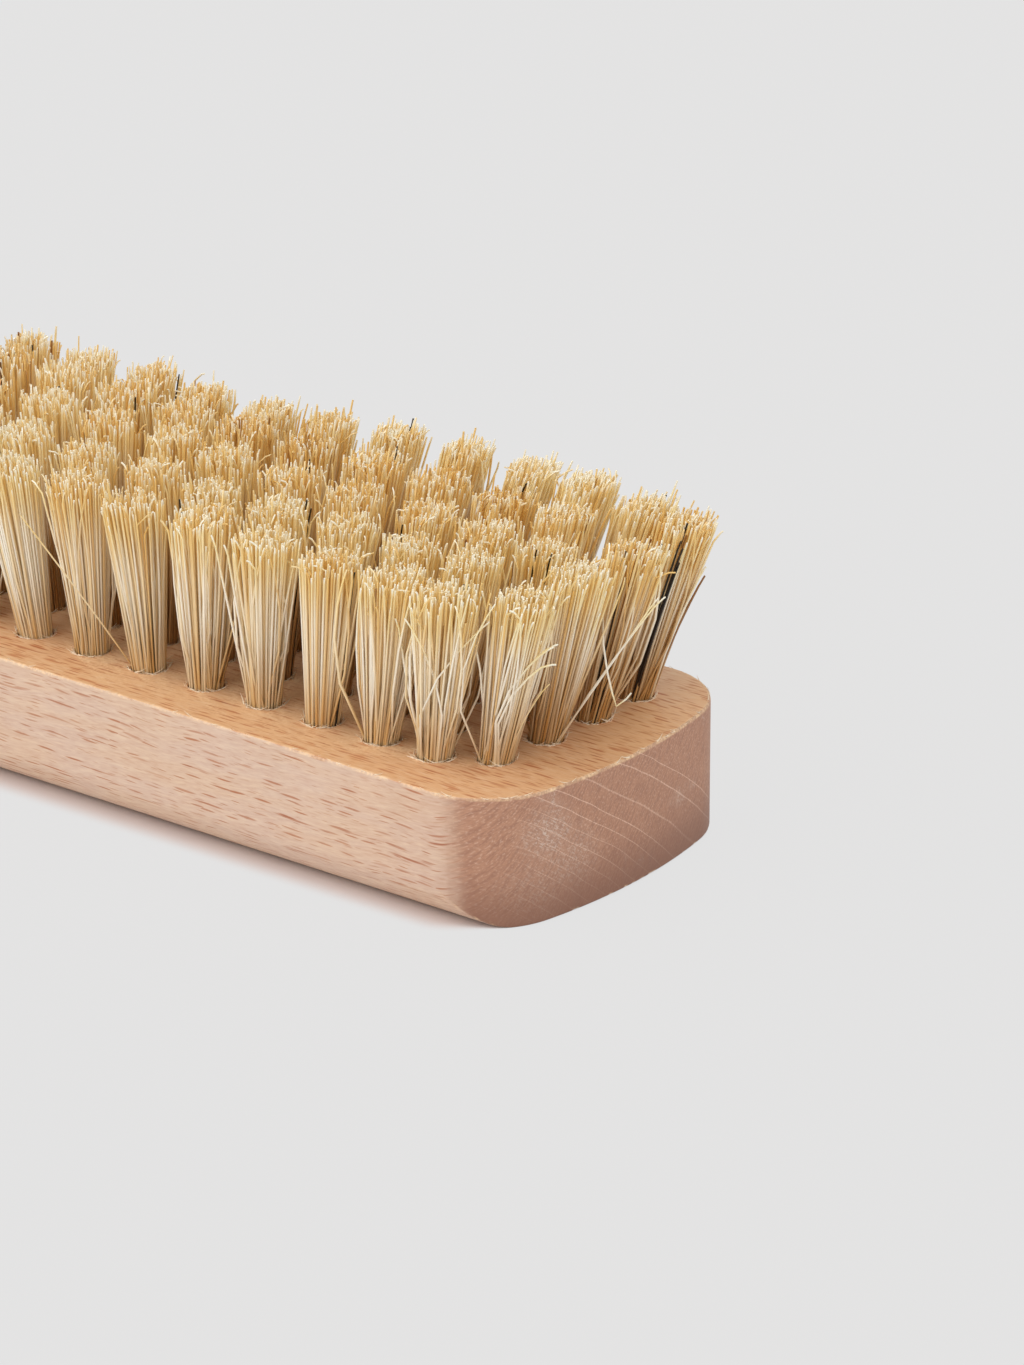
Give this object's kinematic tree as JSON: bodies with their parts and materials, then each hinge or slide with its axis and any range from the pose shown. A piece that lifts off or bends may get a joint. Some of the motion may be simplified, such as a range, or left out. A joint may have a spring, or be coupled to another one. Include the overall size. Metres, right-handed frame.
{
  "type": "shoe shine brush",
  "caption": "Hand brush for polishing shoes: an oblong wooden block with bowed ends and round corners, drilled and set with fanned tufts of straw-coloured bristle.",
  "frame": {"origin": "middle of the flat back of the block, on the surface that the brush lies on", "axes": "+X along the block, +Y across it, +Z from the back towards the bristle tips"},
  "size_m": [0.15, 0.05, 0.0428],
  "materials": {
    "beech": "fine sanded, bare or thinly waxed, open pores",
    "bristle": "natural straw-coloured bristle, slightly glossy"
  },
  "bodies": {
    "root": {"block": "beech", "left_end_tuft_1": "bristle", "left_end_tuft_2": "bristle", "left_end_tuft_3": "bristle", "left_end_tuft_4": "bristle", "right_end_tuft_1": "bristle", "right_end_tuft_2": "bristle", "right_end_tuft_3": "bristle", "right_end_tuft_4": "bristle", "row1_tuft_01": "bristle", "row1_tuft_02": "bristle", "row1_tuft_03": "bristle", "row1_tuft_04": "bristle", "row1_tuft_05": "bristle", "row1_tuft_06": "bristle", "row1_tuft_07": "bristle", "row1_tuft_08": "bristle", "row1_tuft_09": "bristle", "row1_tuft_10": "bristle", "row1_tuft_11": "bristle", "row1_tuft_12": "bristle", "row1_tuft_13": "bristle", "row2_slice_1": "bristle", "row2_slice_2": "bristle", "row2_slice_3": "bristle", "row3_tuft_01": "bristle", "row3_tuft_02": "bristle", "row3_tuft_03": "bristle", "row3_tuft_04": "bristle", "row3_tuft_05": "bristle", "row3_tuft_06": "bristle", "row3_tuft_07": "bristle", "row3_tuft_08": "bristle", "row3_tuft_09": "bristle", "row3_tuft_10": "bristle", "row3_tuft_11": "bristle", "row3_tuft_12": "bristle", "row3_tuft_13": "bristle", "row4_slice_1": "bristle", "row4_slice_2": "bristle", "row4_slice_3": "bristle", "row5_tuft_01": "bristle", "row5_tuft_02": "bristle", "row5_tuft_03": "bristle", "row5_tuft_04": "bristle", "row5_tuft_05": "bristle", "row5_tuft_06": "bristle", "row5_tuft_07": "bristle", "row5_tuft_08": "bristle", "row5_tuft_09": "bristle", "row5_tuft_10": "bristle", "row5_tuft_11": "bristle", "row5_tuft_12": "bristle", "row5_tuft_13": "bristle"}
  },
  "joints": []
}
